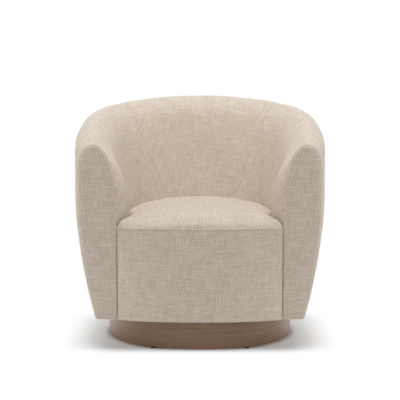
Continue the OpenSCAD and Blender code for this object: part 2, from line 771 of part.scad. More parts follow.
// Swivel: two pressed plates, two races with a ring of caged balls, and a centre pin
module swivel_plate(z, bore_r) {
    color("silver") difference() {
        translate([0, 0, z]) intersection() {
            translate([-plate_w / 2, -plate_w / 2, 0]) cube([plate_w, plate_w, plate_t]);
            translate([0, 0, -cut]) cylinder(r = plate_corner_r, h = plate_t + 2 * cut);
        }
        translate([0, 0, z - cut]) cylinder(r = bore_r, h = plate_t + 2 * cut);
        four_bolts() translate([0, 0, z - cut]) cylinder(r = bolt_r + hole_clear, h = plate_t + 2 * cut);
    }
}

bush_r = pin_r + pin_clear + bush_wall;
module swivel_lower_plate() { swivel_plate(panel_top, pin_r + close_clear); }
module swivel_upper_plate() { swivel_plate(upper_plate_z, bush_r + close_clear); }

module race(z) {
    color("gainsboro") difference() {
        translate([0, 0, z]) cylinder(r = ball_circle_r + race_w / 2, h = race_h);
        translate([0, 0, z - cut]) cylinder(r = ball_circle_r - race_w / 2, h = race_h + 2 * cut);
        translate([0, 0, ball_z]) rotate_extrude()
            translate([ball_circle_r, 0]) circle(r = ball_r + ball_clear);
    }
}
module lower_race() { race(lower_race_z); }
module upper_race() { race(upper_race_z); }

module ball_places() {
    for (i = [0:ball_count - 1])
        rotate(360 * i / ball_count) translate([ball_circle_r, 0, ball_z]) children();
}

module bearing_balls() { color("silver") ball_places() sphere(r = ball_r); }

module ball_cage() {
    color("ivory") difference() {
        translate([0, 0, ball_z - cage_t / 2]) cylinder(r = ball_circle_r + race_w / 2, h = cage_t);
        translate([0, 0, ball_z - cage_t / 2 - cut])
            cylinder(r = ball_circle_r - race_w / 2, h = cage_t + 2 * cut);
        ball_places() cylinder(r = ball_r + pocket_clear, h = cage_t + 2 * cut, center = true);
    }
}

washer_z = shell_z + bush_flange_t + fit;
nut_z = washer_z + washer_t;
module centre_pin() {
    color("silver") {
        translate([0, 0, panel_top - pin_head_h]) cylinder(r = pin_head_r, h = pin_head_h);
        translate([0, 0, panel_top]) cylinder(r = pin_r, h = washer_z - panel_top);
        translate([0, 0, washer_z]) cylinder(r = pin_thread_r, h = washer_t + nut_h);
    }
}

module centre_bush() {
    color("ivory") difference() {
        union() {
            translate([0, 0, upper_plate_z]) cylinder(r = bush_r, h = plate_t + fit);
            translate([0, 0, shell_z]) cylinder(r = bush_flange_r, h = bush_flange_t);
        }
        translate([0, 0, upper_plate_z - cut])
            cylinder(r = pin_r + pin_clear, h = plate_t + bush_flange_t + 2 * cut);
    }
}

module pin_washer() {
    color("silver") translate([0, 0, washer_z]) difference() {
        cylinder(r = washer_r, h = washer_t);
        translate([0, 0, -cut]) cylinder(r = pin_thread_r + close_clear, h = washer_t + 2 * cut);
    }
}

module centre_nut() {
    color("gray") translate([0, 0, nut_z]) difference() {
        cylinder(r = nut_r, h = nut_h, $fn = 6);
        translate([0, 0, -cut]) cylinder(r = pin_thread_r + close_clear, h = nut_h + 2 * cut);
    }
}

// Bolts through a plate and its board, into tee nuts on the board's far side
module plate_bolt(head_z, tip_z) {
    up = tip_z > head_z ? 1 : -1;
    cylinder_z = up > 0 ? head_z : tip_z;
    translate([0, 0, cylinder_z]) cylinder(r = bolt_r, h = abs(tip_z - head_z));
    translate([0, 0, up > 0 ? head_z - bolt_head_h : head_z]) cylinder(r = bolt_head_r, h = bolt_head_h);
}

module tee_nut(face_z, up) {
    difference() {
        union() {
            translate([0, 0, up > 0 ? face_z - tee_l + fit : face_z - fit])
                cylinder(r = tee_r, h = tee_l);
            translate([0, 0, up > 0 ? face_z : face_z - tee_flange_t])
                cylinder(r = tee_flange_r, h = tee_flange_t);
        }
        translate([0, 0, face_z - tee_l - cut])
            cylinder(r = bolt_r + close_clear, h = 2 * (tee_l + cut));
    }
}

module lower_bolts() { color("gray") four_bolts() plate_bolt(lower_race_z, panel_z); }
module lower_tee_nuts() { color("silver") four_bolts() tee_nut(panel_z, -1); }
module upper_bolts() { color("gray") four_bolts() plate_bolt(upper_plate_z, board_top); }
module upper_tee_nuts() { color("silver") four_bolts() tee_nut(board_top, 1); }

plinth_ring();
plinth_panel();
plinth_blocks();
floor_glides();
swivel_lower_plate();
lower_race();
centre_pin();
pin_washer();
centre_nut();
lower_bolts();
lower_tee_nuts();
ball_cage();
bearing_balls();
swivel_upper_plate();
upper_race();
centre_bush();
upper_bolts();
upper_tee_nuts();
bottom_board();
dust_cover();
front_rail();
back_rail();
side_rail_left();
side_rail_right();
corner_blocks();
rail_screws();
arm_stile_left();
arm_stile_right();
arm_rib_left();
arm_rib_right();
corner_rib_left();
corner_rib_right();
back_rib_left();
back_rib_right();
top_rail();
outer_liner();
inner_liner();
seat_springs();
spring_clips();
spring_insulator();
seat_pad();
apron_pad();
arm_front_pad_left();
arm_front_pad_right();
arm_pad_left();
arm_pad_right();
back_pad();
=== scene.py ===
"""Swivel barrel chair: padded covers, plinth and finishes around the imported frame.

Metres, +Z up, the front of the chair faces -Y. The shell's wall is described by a station q
(0 in the middle of the back, 1 at the side, 2 at an arm's front, minus on the left), an inward
distance u from its widest line, and a height z.
"""
import json
import math

import bmesh
import bpy
import numpy as np
from mathutils import Euler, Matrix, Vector, noise
from mathutils.kdtree import KDTree


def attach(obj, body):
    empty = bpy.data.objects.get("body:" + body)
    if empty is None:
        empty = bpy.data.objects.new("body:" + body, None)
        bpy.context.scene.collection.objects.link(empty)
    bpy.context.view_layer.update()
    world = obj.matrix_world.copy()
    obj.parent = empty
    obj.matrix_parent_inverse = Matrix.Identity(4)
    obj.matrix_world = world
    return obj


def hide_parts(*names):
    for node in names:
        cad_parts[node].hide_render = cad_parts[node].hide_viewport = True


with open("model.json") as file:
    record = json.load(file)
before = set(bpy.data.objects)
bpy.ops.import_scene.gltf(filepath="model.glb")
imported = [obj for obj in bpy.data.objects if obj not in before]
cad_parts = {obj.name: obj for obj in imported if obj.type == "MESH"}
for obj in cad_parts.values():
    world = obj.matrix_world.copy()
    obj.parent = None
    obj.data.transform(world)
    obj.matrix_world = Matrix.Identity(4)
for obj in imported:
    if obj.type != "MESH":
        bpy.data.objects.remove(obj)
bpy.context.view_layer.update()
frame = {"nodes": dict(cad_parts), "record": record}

# Sizes of the shell, the same as in the solids
HALF_W = 0.406
HALF_D = 0.410
BACK_H = 0.789
ARM_H = 0.648
ARMS_W = 0.738
WIDE_H = 0.485
SHELL_Z = 0.112
DECK_Z = 0.3376
BOARD_TOP = 0.130
ARM_TUCK = 0.050
BACK_TUCK = 0.070
FOOT_R = 0.012
ARM_T = 0.117
ARM_PEAK = 0.045
BACK_PEAK = 0.076
ARM_SHOULDER_H = 0.078
BACK_SHOULDER_H = 0.165
ARM_ROLL_H = 0.168
BACK_T = 0.120
BACK_ROLL_H = 0.080
BACK_LEAN = math.tan(math.radians(19.3))
ARM_FRONT_Y = -0.363
OUTER_PAD = 0.014
TOP_PAD = 0.036
INNER_PAD = 0.038
RIM_POWER = 1.8
TUCK_POWER = 2.0
SHOULDER_POWER = 2.4
SIDE_SHARE = 0.39
SEAM_SHARE = 0.63
NARROWING = 1 - (ARMS_W / (2 * HALF_W)) ** 2
SEAM_Q = (1 - SEAM_SHARE) / (1 - SIDE_SHARE)

# Gap between neighbouring covers, also as a share of a station
GAP = 0.0003
SEAM_GAP_Q = GAP / (math.pi / 4 * (HALF_W + HALF_D))

# Seat and apron
APRON_GAP = 0.0008
APRON_HALF = (ARMS_W - 2 * (ARM_T + APRON_GAP)) / 2
APRON_BOW = 0.038
BOW_POWER = 2.7
PAD_Y = -0.339
SEAM_H = 0.3955
BACK_EDGE_H = 0.410
CROWN_H = 0.4545
LIP = 0.003
CROWN_Y = -0.090
CROWN_POWER = 2.6
CROWN_ROOT = 0.44
SIDE_ROOT = 0.34
OUTLINE_POINTS = 300

# The seat's cover: gap to the shell, size of its foot as a share of its outline, width in which it is
# drawn down to the shell, and number of rings over which its unevenness begins
SEAT_GAP = 0.0024
FOOT_SHARE = 0.86
DRAWN_D = 0.0055
EVEN_RINGS = 6

# Where the seat's sides begin to rise more steeply: X and Y, each with how far it takes
STEEP_X, STEEP_X_D = 0.19, 0.03
STEEP_Y, STEEP_Y_D = -0.376, 0.050

# Plinth
HOOP_R = 0.305
HOOP_T = 0.018
HOOP_Z = 0.004
HOOP_TOP = 0.100
HOOP_EDGE = 0.003
HOOP_SIDES = 240

# Where the arm's cover ends and the front panel begins
ARM_COVER_END_Y = -0.3575

# How far the arm's cover swells over the seat behind its front, how far back it ends and is
# fullest, and the heights between which it fades
ARM_SWELL = 0.034
SWELL_D = 0.220
SWELL_PEAK_D = 0.055
SWELL_FULL_H = 0.500
SWELL_END_H = 0.665

# Crown of the apron's padding, and how far the seat's crown lies lower, before they are let swell
APRON_CROWN = 0.0
CROWN_DROP = 0.001

# How much smaller the shell's covers start than they end, when they are let swell
START_SMALL = 0.0025

# Seams of the shell: radius of the roll, depth and width of the dip, depth of the puckers
SIDE_SEAM = (0.0042, 0.0028, 0.011, 0.0014)
FRONT_SEAM = (0.0062, 0.0006, 0.010, 0.0004)

# Down the inside a seam keeps this share of its depth, after about so many rows of points
INSIDE_SEAM = 0.45
INSIDE_SEAM_ROWS = 14

# Sizes of the puckers, and the share of the finer ones
PUCKER_SIZES = (0.021, 0.011)
FINE_PUCKERS = 0.6

# A cover is held this near to its edges, and swells fully about this far from them
HELD_D = 0.004
FREE_D = 0.045

# How far down inside the shell its covers reach
COVER_BOTTOM = 0.372

# Distances from a seam at which a cover has stations, before even steps begin
EDGE_STEPS = np.array([0, 0.0003, 0.0009, 0.0018, 0.003, 0.0045, 0.0065, 0.009, 0.0125, 0.017, 0.0225])
FRONT_STEPS = np.array([0.0225, 0.017, 0.0125, 0.0095, 0.0075, 0.006, 0.0045, 0.003, 0.0018, 0.0009,
                        0.0003, 0])

# Edge of the panel on an arm's front: distance in from the arm's outline, and Y
PANEL_EDGE = ((0.0069, -0.3579), (0.0054, -0.3582), (0.0045, -0.3588), (0.0042, -0.3596),
              (0.0046, -0.3605), (0.0058, -0.3614), (0.0078, -0.3621), (0.0108, -0.3627),
              (0.0150, -0.3632), (0.0210, -0.3637), (0.0280, -0.3640), (0.0360, -0.3642))
PANEL_FACE_Y = -0.3643
PANEL_REACH = 0.92

# The panel's middle line starts and ends this far from its foot and its rim. Its edge closes up over
# this height, beside the apron and near the foot, and by this share. Behind this Y it stays even.
SPINE_FOOT = 0.060
SPINE_RIM = 0.062
CLOSING_H = 0.030
CLOSING_FOOT = 0.045
CLOSING_SHARE = 0.85
PANEL_EVEN_Y = -0.361

# Apron: radii of its edges at the foot and the top, its side seams' roll, dip and the dip's width,
# and the widths of the strips that are held at its sides, top and foot
APRON_FOOT_R = 0.006
APRON_TOP_R = 0.0010
APRON_SEAM = (0.0040, 0.0010, 0.012)
APRON_HELD = (0.006, 0.004, 0.007)

# Edge of the seat's cover: distance in from its outline and height over the lip
SEAT_EDGE = ((0.0010, 0.0002), (0.0006, 0.0004), (0.0003, 0.0008), (0.0001, 0.0016), (0.0000, 0.0026))

# Rings of the seat's cover, as shares of the way from its middle to its outline
SEAT_SHARES = (1, 0.9985, 0.996, 0.992, 0.987, 0.98, 0.972, 0.962, 0.95, 0.935, 0.917, 0.895, 0.87, 0.84,
               0.805, 0.765, 0.72, 0.67, 0.615, 0.555, 0.49, 0.42, 0.345, 0.27, 0.19, 0.11, 0.04)

# Unevenness of the padding: heights and sizes of its two waves
SHELL_WAVES = ((0.0011, 0.16), (0.0005, 0.06))
PANEL_WAVES = ((0.0006, 0.11), (0.0003, 0.045))
APRON_WAVES = ((0.0007, 0.12), (0.0003, 0.05))
SEAT_WAVES = ((0.0009, 0.13), (0.0004, 0.05))
APRON_SEED = 41
SEAT_SEED = 51

# Below this height the shell's inside is held by the seat
UNDER_SEAT_H = 0.405

# Pitches of the weave
WARP_PITCH = 0.0050
WEFT_PITCH = 0.0043


def mix(a, b, share):
    """a where share is 0, b where it is 1."""
    return a + (b - a) * share


def way(q):
    """Way round the shell: 1 in the middle of the back, SIDE_SHARE at the side, 0 at an arm's front."""
    q = abs(q)
    return 1 - (1 - SIDE_SHARE) * q if q <= 1 else SIDE_SHARE * (2 - q)


class Section:
    """The wall's section at one station."""

    def __init__(self, q):
        w = max(0.0, way(q))
        self.q = q
        self.seam_way = min(1, w / SEAM_SHARE)
        side_way = min(1, w / SIDE_SHARE)
        self.rim = BACK_H - (BACK_H - ARM_H) * (1 - w) ** RIM_POWER
        self.tuck = mix(ARM_TUCK, BACK_TUCK, math.sin(math.pi / 2 * side_way))
        self.peak = mix(ARM_PEAK, BACK_PEAK, math.sin(math.pi / 2 * w))
        self.shoulder = mix(ARM_SHOULDER_H, BACK_SHOULDER_H, w ** SHOULDER_POWER)
        self.roll_w = mix(ARM_T, BACK_T, self.seam_way) - self.peak
        self.roll_h = mix(ARM_ROLL_H, BACK_ROLL_H, self.seam_way)
        self.lean = BACK_LEAN * self.seam_way
        self.shoulder_z = self.rim - self.shoulder

    def outside(self, z):
        """Inward distance of the outer face at a height."""
        if z < WIDE_H and z < self.shoulder_z:
            return self.tuck * ((WIDE_H - z) / (WIDE_H - SHELL_Z)) ** TUCK_POWER
        if z <= self.shoulder_z:
            return 0.0
        rise = min(1.0, (z - self.shoulder_z) / self.shoulder)
        return self.peak * (1 - math.sqrt(1 - rise * rise))

    def inside(self, z):
        """Inward distance of the inner face at a height."""
        d = self.rim - z
        over = min(1.0, max(0.0, 1 - d / self.roll_h))
        return self.peak + self.lean * d + self.roll_w * math.sqrt(1 - over * over) + self.swell(z)

    def swell(self, z):
        """How much fuller the arm is over the seat, just behind its front."""
        back = ARM_FRONT_Y * (abs(self.q) - 1) - ARM_COVER_END_Y
        if back <= 0 or back >= SWELL_D:
            return 0.0
        if back < SWELL_PEAK_D:
            along = math.sin(math.pi / 2 * back / SWELL_PEAK_D)
        else:
            along = math.cos(math.pi / 2 * (back - SWELL_PEAK_D) / (SWELL_D - SWELL_PEAK_D)) ** 2
        up = min(1, max(0, (SWELL_END_H - z) / (SWELL_END_H - SWELL_FULL_H)))
        return ARM_SWELL * along * up * up * (3 - 2 * up)

    def skin(self, bottom):
        """The part of the section that shows, from the foot over the rim to a height inside."""
        foot = self.outside(SHELL_Z + FOOT_R)
        low = min(WIDE_H, self.shoulder_z - GAP)
        line = [(foot + FOOT_R * (1 - math.sin(a)), SHELL_Z + FOOT_R * (1 - math.cos(a)))
                for a in np.linspace(0, math.pi / 2, 7)]
        line += [(self.outside(z), z) for z in np.linspace(SHELL_Z + FOOT_R, low, 25)[1:]]
        line += [(self.outside(z), z) for z in np.linspace(low, self.shoulder_z, 5)[1:]]
        line += [(self.peak * (1 - math.cos(a)), self.shoulder_z + self.shoulder * math.sin(a))
                 for a in np.linspace(0, math.pi / 2, 22)[1:]]
        peak_at = len(line) - 1
        for a in np.linspace(0, math.pi / 2, 20)[1:]:
            z = self.rim - self.roll_h * (1 - math.cos(a))
            line.append((self.inside(z), z))
        bend = self.rim - self.roll_h
        line += [(self.inside(z), z) for z in np.linspace(bend, bottom, 22)[1:]]
        return np.array(line), peak_at

    def hollow(self, bottom):
        """The part that closes the section, round the room for the frame."""
        top = self.rim - TOP_PAD
        bend = self.rim - self.roll_h
        line = [(self.inside(z) - self.swell(z) - INNER_PAD, z) for z in (bottom, bend, top)]
        line += [(self.outside(top) + OUTER_PAD, top),
                (self.outside(max(WIDE_H + GAP, self.shoulder_z)) + OUTER_PAD,
                 max(WIDE_H + GAP, self.shoulder_z))]
        line += [(self.outside(z) + OUTER_PAD, z) for z in np.linspace(WIDE_H, BOARD_TOP, 6)]
        line.append((self.outside(SHELL_Z) + OUTER_PAD, SHELL_Z))
        return np.array(line)


def widest(q):
    """Point of the shell's widest line at a station, and the unit vector that points out there."""
    side = -1 if q < 0 else 1
    if abs(q) <= 1:
        a = math.pi / 2 * q
        point = np.array([HALF_W * math.sin(a), HALF_D * math.cos(a)])
        out = np.array([math.sin(a) / HALF_W, math.cos(a) / HALF_D])
        return point, out / np.linalg.norm(out)
    x = HALF_W * math.sqrt(1 - NARROWING * (abs(q) - 1) ** 2)
    return np.array([side * x, ARM_FRONT_Y * (abs(q) - 1)]), np.array([float(side), 0.0])


def place(q, points):
    """Points of a section, as inward distance and height, set at their station."""
    at, out = widest(q)
    return np.column_stack([at[0] - points[:, 0] * out[0], at[1] - points[:, 0] * out[1], points[:, 1]])


def section_normals(line):
    """Unit normals of a section's line, pointing out of the padding."""
    along = np.gradient(line, axis=0)
    along /= np.linalg.norm(along, axis=1)[:, None]
    return np.column_stack([-along[:, 1], along[:, 0]])


def running_length(points, start):
    """Distance along a row of points, from the point numbered start."""
    step = np.linalg.norm(np.diff(points, axis=0), axis=1)
    total = np.concatenate([[0], np.cumsum(step)])
    return total - total[start]


def ripple(point, size, seed):
    """Smooth noise from -1 to 1 at a point, for features of a size."""
    return noise.noise(Vector(point) / size + Vector((seed, seed * 1.7, -seed)))


def unevenness(point, waves, seed):
    """Sum of ripples at a point, for waves of given heights and sizes."""
    return sum(height * ripple(point, size, seed + k) for k, (height, size) in enumerate(waves))


def new_mesh(name, verts, faces, uvs, caps=(), round_length=0):
    """A smooth closed object from vertices, faces and one UV a vertex.

    round_length is the UV length of a piece that closes on itself, so that the last face's UVs run on.
    """
    mesh = bpy.data.meshes.new(name)
    mesh.from_pydata([tuple(v) for v in verts], [], [tuple(f) for f in faces] + [tuple(c) for c in caps])
    layer = mesh.uv_layers.new(name="cloth")
    for polygon in mesh.polygons:
        across = [uvs[mesh.loops[k].vertex_index] for k in polygon.loop_indices]
        far = round_length and max(u for u, _ in across) > round_length / 2
        for k, (u, v) in zip(polygon.loop_indices, across):
            layer.data[k].uv = (u + round_length if far and u == 0 else u, v)
    work = bmesh.new()
    work.from_mesh(mesh)
    wide = [f for f in work.faces if len(f.verts) > 4]
    bmesh.ops.triangulate(work, faces=wide, ngon_method="EAR_CLIP")
    bmesh.ops.recalc_face_normals(work, faces=work.faces)
    work.to_mesh(mesh)
    work.free()
    for polygon in mesh.polygons:
        polygon.use_smooth = True
    item = bpy.data.objects.new(name, mesh)
    bpy.context.scene.collection.objects.link(item)
    return item


def ring_faces(rows, n):
    """Quads between each two neighbours of a row of closed rings of n points."""
    return [(i * n + j, i * n + (j + 1) % n, (i + 1) * n + (j + 1) % n, (i + 1) * n + j)
            for i in range(rows - 1) for j in range(n)]


def ring_mesh(name, verts, rows, uvs):
    """A closed object from a row of closed rings, with a cap at each end."""
    n = len(verts) // rows
    last = (rows - 1) * n
    caps = [list(range(n)), [last + j for j in range(n - 1, -1, -1)]]
    return new_mesh(name, verts, ring_faces(rows, n), uvs, caps)


def rolled_in(distance, radius):
    """How far a cover has rolled inwards at a distance from its sewn edge."""
    left = np.clip(radius - distance, 0, radius)
    return radius - np.sqrt(radius * radius - left * left)


def stations(start, end, count, start_edge=True, end_edge=True):
    """Stations from start to end, close together at the edges that are sewn."""
    quarter = math.pi / 4 * (HALF_W + HALF_D)
    lead = EDGE_STEPS / quarter
    first = start + lead if start_edge else np.array([start])
    last = (end - lead)[::-1] if end_edge else np.array([end])
    return np.concatenate([first, np.linspace(first[-1], last[0], count)[1:-1], last])


def shell_cover(name, qs, seams, bottom, seed):
    """A padded cover along the shell, and which of its points are sewn or lie on the frame.

    seams gives for each end the roll's radius, the depth and the width of the dip along the seam,
    and the depth of the puckers.
    """
    lines, peaks = zip(*[Section(q).skin(bottom) for q in qs])
    hollows = [Section(q).hollow(bottom) for q in qs]
    base = np.array([place(q, line) for q, line in zip(qs, lines)])
    shown = base.shape[1]
    along = np.array([running_length(base[:, j], 0) for j in range(shown)]).T
    normals = np.array([section_normals(line) for line in lines])
    depth = np.zeros(base.shape[:2])
    for end, (radius, dip, reach, pucker) in zip((0, -1), seams):
        away = np.abs(along - along[end])
        # the seam lies flatter down the inside, where the padding is stretched
        steps = np.arange(shown) - peaks[end]
        fading = np.exp(-steps / INSIDE_SEAM_ROWS)
        firm = np.where(steps > 0, INSIDE_SEAM + (1 - INSIDE_SEAM) * fading, 1.0)
        depth += firm * (rolled_in(away, radius) + dip * np.exp(-(away / reach) ** 2))
        for j in range(shown):
            spot = base[end, j]
            fold = ripple(spot, PUCKER_SIZES[0], seed + 3)
            fold += FINE_PUCKERS * ripple(spot, PUCKER_SIZES[1], seed + 5)
            depth[:, j] += pucker * fold * np.exp(-away[:, j] / (1.5 * reach))
    # the cover starts a little small, and a little large along the rim, because swelling draws the rim in
    free = np.minimum(np.abs(along - along[0]), np.abs(along - along[-1]))
    low = np.arange(shown)
    free = np.minimum(free, HELD_D * np.minimum(low, shown - 1 - low)[None, :])
    upward = np.clip(normals[:, :, 1], 0, 1)
    depth += START_SMALL * (1 - 2 * upward ** 1.5) * (1 - np.exp(-(free / FREE_D) ** 2))
    sewn = free < HELD_D
    verts, uvs, held = [], [], []
    middle = len(qs) // 2
    for i, q in enumerate(qs):
        inward = depth[i] + np.array([unevenness(p, SHELL_WAVES, seed) for p in base[i]])
        points = lines[i] - normals[i] * inward[:, None]
        points[:, 1] = np.maximum(points[:, 1], SHELL_Z)
        ring = np.vstack([place(q, points), place(q, hollows[i])])
        verts.append(ring)
        under_seat = (base[i][:, 2] < UNDER_SEAT_H) & (low > peaks[i])
        held += list(sewn[i] | under_seat) + [True] * len(hollows[i])
        down = running_length(base[i], peaks[i])
        row = [(along[i, j] - along[middle, j], down[j]) for j in range(shown)]
        uvs += row + [row[-1]] * len(hollows[i])
    return ring_mesh(name, np.vstack(verts), len(qs), uvs), np.array(held)


def mirrored(item, name):
    """The same piece for the other side."""
    mesh = item.data.copy()
    for vertex in mesh.vertices:
        vertex.co.x = -vertex.co.x
    mesh.flip_normals()
    twin = bpy.data.objects.new(name, mesh)
    bpy.context.scene.collection.objects.link(twin)
    return twin


def bow_y(x):
    """Y of the apron's bowed front."""
    return -HALF_D + APRON_BOW * (abs(x) / APRON_HALF) ** BOW_POWER


# Covers of the shell
back_qs = stations(-SEAM_Q + SEAM_GAP_Q, SEAM_Q - SEAM_GAP_Q, 96)
back_cover, back_held = shell_cover("back_cover", back_qs, (SIDE_SEAM, SIDE_SEAM), COVER_BOTTOM, 11)

corner_qs = stations(SEAM_Q + SEAM_GAP_Q, 1.0, 26, end_edge=False)
front_q = 1 + ARM_COVER_END_Y / ARM_FRONT_Y
front_lead = FRONT_STEPS / -ARM_FRONT_Y
arm_qs = np.concatenate([corner_qs, np.linspace(1, front_q - front_lead[0], 34)[1:-1],
                         front_q - front_lead])
arm_right, arm_held = shell_cover("arm_cover_right", arm_qs, (SIDE_SEAM, FRONT_SEAM), COVER_BOTTOM, 23)


def front_panel(name, seed):
    """The padded panel on an arm's front."""
    section = Section(2)
    line, _ = section.skin(SHELL_Z + 0.0002)
    inner_foot = section.inside(SHELL_Z)
    outer_foot = section.outside(SHELL_Z + FOOT_R) + FOOT_R
    floor_line = [(u, SHELL_Z) for u in np.linspace(inner_foot, outer_foot, 12)[1:-1]]
    line = np.vstack([line, floor_line])
    low, high = SHELL_Z + SPINE_FOOT, section.rim - SPINE_RIM
    spine = []
    for u, z in line:
        at = min(high, max(low, z))
        spine.append(((section.outside(at) + section.inside(at)) / 2, at))
    spine = np.array(spine)
    away = np.linalg.norm(spine - line, axis=1)
    toward = (spine - line) / away[:, None]
    # the edge closes up on the apron, below the seat and towards the middle, and along the bottom
    inner = line[:, 0] > spine[:, 0]
    beside = np.where(inner, np.clip((SEAM_H + CLOSING_H - line[:, 1]) / CLOSING_H, 0, 1), 0)
    bottom = np.clip((SHELL_Z + CLOSING_FOOT - line[:, 1]) / CLOSING_H, 0, 1)
    closing = 1 - CLOSING_SHARE * np.maximum(beside, bottom)
    rings = [(line + toward * np.minimum(inset * closing, PANEL_REACH * away)[:, None], y)
             for inset, y in PANEL_EDGE]
    rings.append((line + toward * PANEL_REACH * away[:, None], PANEL_FACE_Y))
    verts, uvs = [], []
    for flat, y in rings:
        for u, z in flat:
            x = ARMS_W / 2 - u
            wave = unevenness((x, y, z), PANEL_WAVES, seed)
            verts.append((x, y + (wave if y < PANEL_EVEN_Y else 0), z))
            uvs.append((x, z))
    return ring_mesh(name, verts, len(rings), uvs)


panel_right = front_panel("arm_front_cover_right", 31)
panel_left = mirrored(panel_right, "arm_front_cover_left")


def apron():
    """The apron's cover, and which of its points are sewn or lie on the frame."""
    low_r, top_r = APRON_FOOT_R, APRON_TOP_R
    radius, dip, reach = APRON_SEAM
    side_strip, top_strip, foot_strip = APRON_HELD
    top = SEAM_H - LIP - GAP
    inner = APRON_HALF - EDGE_STEPS[-1]
    xs = np.concatenate([EDGE_STEPS - APRON_HALF, np.linspace(-inner, inner, 90)[1:-1],
                         (APRON_HALF - EDGE_STEPS)[::-1]])
    section = [(low_r * (1 - math.sin(a)), SHELL_Z + low_r * (1 - math.cos(a)))
               for a in np.linspace(0, math.pi / 2, 8)]
    face_low, face_top = SHELL_Z + low_r, top - top_r
    for z in np.linspace(face_low, face_top, 44)[1:]:
        share = (z - face_low) / (face_top - face_low)
        section.append((-APRON_CROWN * (4 * share * (1 - share)) ** 0.8, z))
    section += [(top_r * (1 - math.cos(a)), top - top_r + top_r * math.sin(a))
                for a in np.linspace(0, math.pi / 2, 8)[1:]]
    verts, uvs, held = [], [], []
    length = running_length(np.array([(x, bow_y(x)) for x in xs]), len(xs) // 2)
    for x, run in zip(xs, length):
        edge = APRON_HALF - abs(x)
        roll = float(rolled_in(edge, radius)) + dip * math.exp(-(edge / reach) ** 2)
        front = bow_y(x)
        for d, z in section:
            wave = unevenness((x, front, z), APRON_WAVES, APRON_SEED)
            verts.append((x, front + d + roll + wave, z))
            uvs.append((run, z))
            held.append(edge < side_strip or z > top - top_strip or z < SHELL_Z + foot_strip)
        verts += [(x, PAD_Y - GAP, top), (x, PAD_Y - GAP, SHELL_Z)]
        uvs += [(run, top), (run, SHELL_Z)]
        held += [True, True]
    return ring_mesh("apron_cover", verts, len(xs), uvs), np.array(held)


apron_cover, apron_held = apron()


def edge_h(y):
    """Height of the seat's edge, which rises a little to the back."""
    return mix(SEAM_H, BACK_EDGE_H, min(1, max(0, (y - ARM_FRONT_Y) / HALF_D)))


def seat_outline():
    """Points in even steps round the seat, which runs up to the apron's front and to the shell."""
    front = [np.array([x, bow_y(x)]) for x in np.linspace(-APRON_HALF, APRON_HALF, 81)]
    q_end = 1 + PAD_Y / ARM_FRONT_Y
    side = []
    for q in np.concatenate([np.linspace(q_end, 1, 30), np.linspace(1, -1, 150)[1:-1],
                             np.linspace(-1, -q_end, 30)]):
        at, out = widest(q)
        inward = Section(q).inside(edge_h(at[1]) - LIP) + SEAT_GAP
        point = at - inward * out
        point[0] = math.copysign(min(abs(point[0]), APRON_HALF), point[0] if abs(q) > 1e-9 else 0)
        side.append(point)
    closed = np.array(front + side + front[:1])
    run = running_length(closed, 0)
    even = np.linspace(0, run[-1], OUTLINE_POINTS + 1)[:-1]
    return np.column_stack([np.interp(even, run, closed[:, k]) for k in (0, 1)])


def seat():
    """The seat's cover, and which of its points are sewn or lie on the deck."""
    outline = seat_outline()
    centre = np.array([0, CROWN_Y])
    heights = np.array([edge_h(y) for _, y in outline])
    inward = centre - outline
    inward /= np.linalg.norm(inward, axis=1)[:, None]
    foot = centre + (outline - centre) * FOOT_SHARE
    foot[:, 1] = np.maximum(foot[:, 1], PAD_Y + GAP)
    rings = [(foot, np.full(len(outline), DECK_Z + 2 * GAP)), (foot, heights - LIP + GAP)]
    rings += [(outline + inward * inset, heights - LIP + rise) for inset, rise in SEAT_EDGE]
    below = len(rings)
    # along the arms and the back the cover is drawn down, so the crown starts low there
    sides = outline[heights > edge_h(PAD_Y) - 0.00001]
    sides = sides[sides[:, 1] > PAD_Y - 0.001]
    # beside the arms, but not yet at the corners, the cover rises more steeply
    beside = np.clip((np.abs(outline[:, 0]) - STEEP_X) / STEEP_X_D, 0, 1)
    beside = beside * np.clip((outline[:, 1] - STEEP_Y) / STEEP_Y_D, 0, 1)
    root = mix(CROWN_ROOT, SIDE_ROOT, beside * beside * (3 - 2 * beside))
    for share in SEAT_SHARES:
        flat = centre + (outline - centre) * share
        near = np.sqrt(((flat[:, None, :] - sides[None, :, :]) ** 2).sum(axis=2)).min(axis=1)
        drawn = 1 - np.exp(-(near / DRAWN_D) ** 2)
        rise = (1 - share ** CROWN_POWER) ** root * drawn
        rings.append((flat, mix(heights, CROWN_H - CROWN_DROP, rise)))
    # the cloth's coordinates run out from the middle along the surface, so that it isn't stretched
    solid = np.array([np.column_stack([flat, z]) for flat, z in rings[::-1]])
    steps = np.linalg.norm(np.diff(solid, axis=0), axis=2)
    first = np.linalg.norm(solid[0][:, :2] - centre, axis=1)
    run = first + np.vstack([np.zeros(len(outline)), np.cumsum(steps, axis=0)])
    uvs = [tuple(centre - toward * away) for row in run[::-1] for toward, away in zip(inward, row)]
    verts = []
    for number, (flat, z) in enumerate(rings):
        for (x, y), h in zip(flat, z):
            wave = unevenness((x, y, h), SEAT_WAVES, SEAT_SEED)
            verts.append((x, y, h + wave * min(1, max(0, number - below) / EVEN_RINGS)))
    held = np.arange(len(verts)) < below * len(outline)
    return ring_mesh("seat_cover", verts, len(rings), uvs), held


seat_cover, seat_held = seat()


